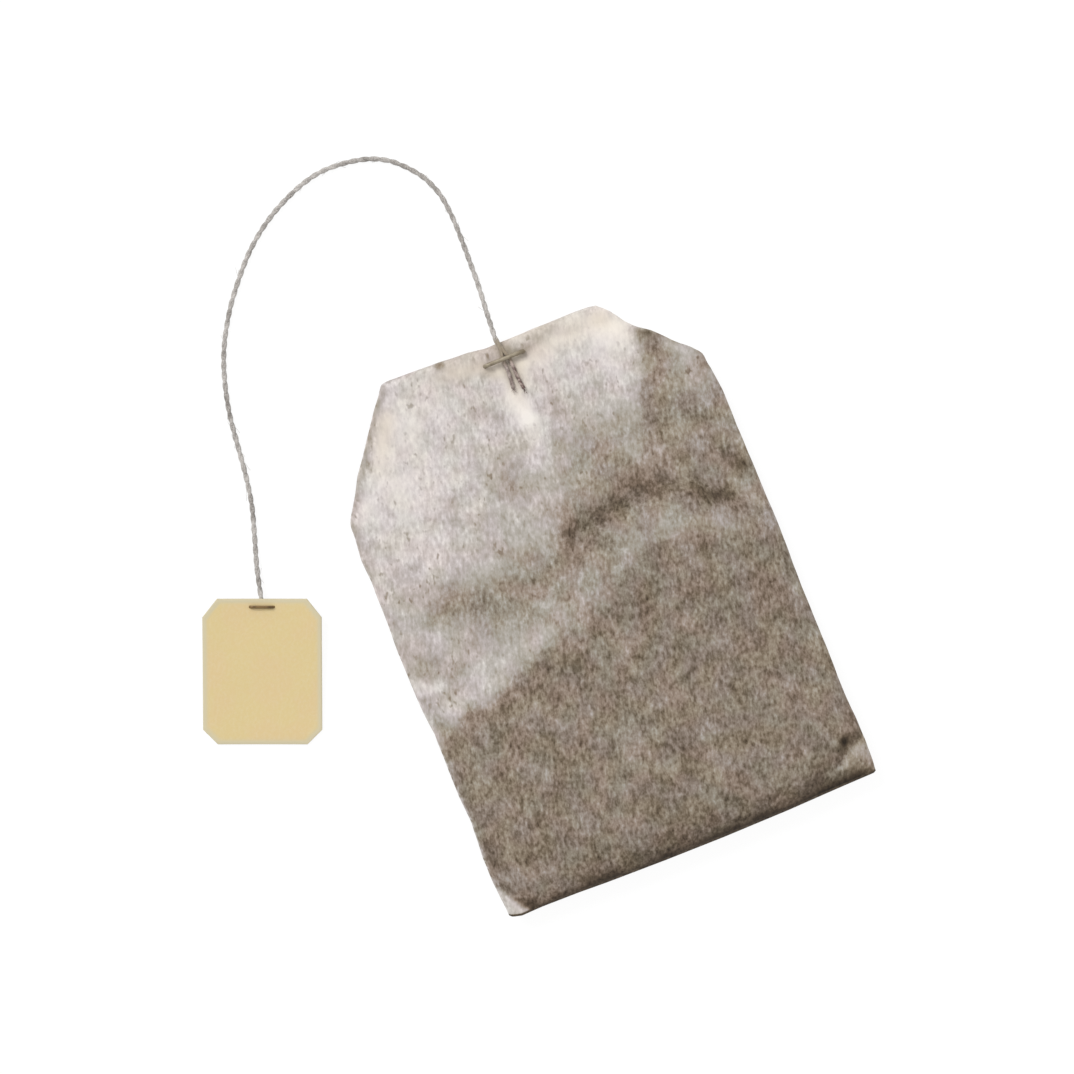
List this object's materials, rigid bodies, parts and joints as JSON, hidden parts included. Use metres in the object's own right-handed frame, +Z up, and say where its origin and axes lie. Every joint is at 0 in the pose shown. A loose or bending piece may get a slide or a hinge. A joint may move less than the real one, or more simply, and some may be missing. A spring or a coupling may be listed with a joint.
{
  "type": "tea bag",
  "caption": "Flat filter-paper bag of loose leaf with folded corners, stapled top, thin cotton string and a small octagonal card tag.",
  "frame": {"origin": "on the surface that the bag lies on, under the middle of the bag and its staple", "axes": "+X across the bag, +Y from the folded bottom edge towards the string, +Z up through its thickness"},
  "size_m": [0.0789, 0.0989, 0.0068],
  "materials": {
    "filter_paper": "matte, thin and slightly translucent",
    "tea_leaf": "matte, dry crumbled leaf",
    "staple_wire": "dull drawn wire",
    "cotton_string": "matte two-ply twist",
    "tag_card": "matte buff card"
  },
  "bodies": {
    "root": {"filter_paper": "filter_paper", "tea_front": "tea_leaf", "tea_back": "tea_leaf", "bag_staple": "staple_wire", "string": "cotton_string", "tag": "tag_card", "tag_staple": "staple_wire"}
  },
  "joints": []
}
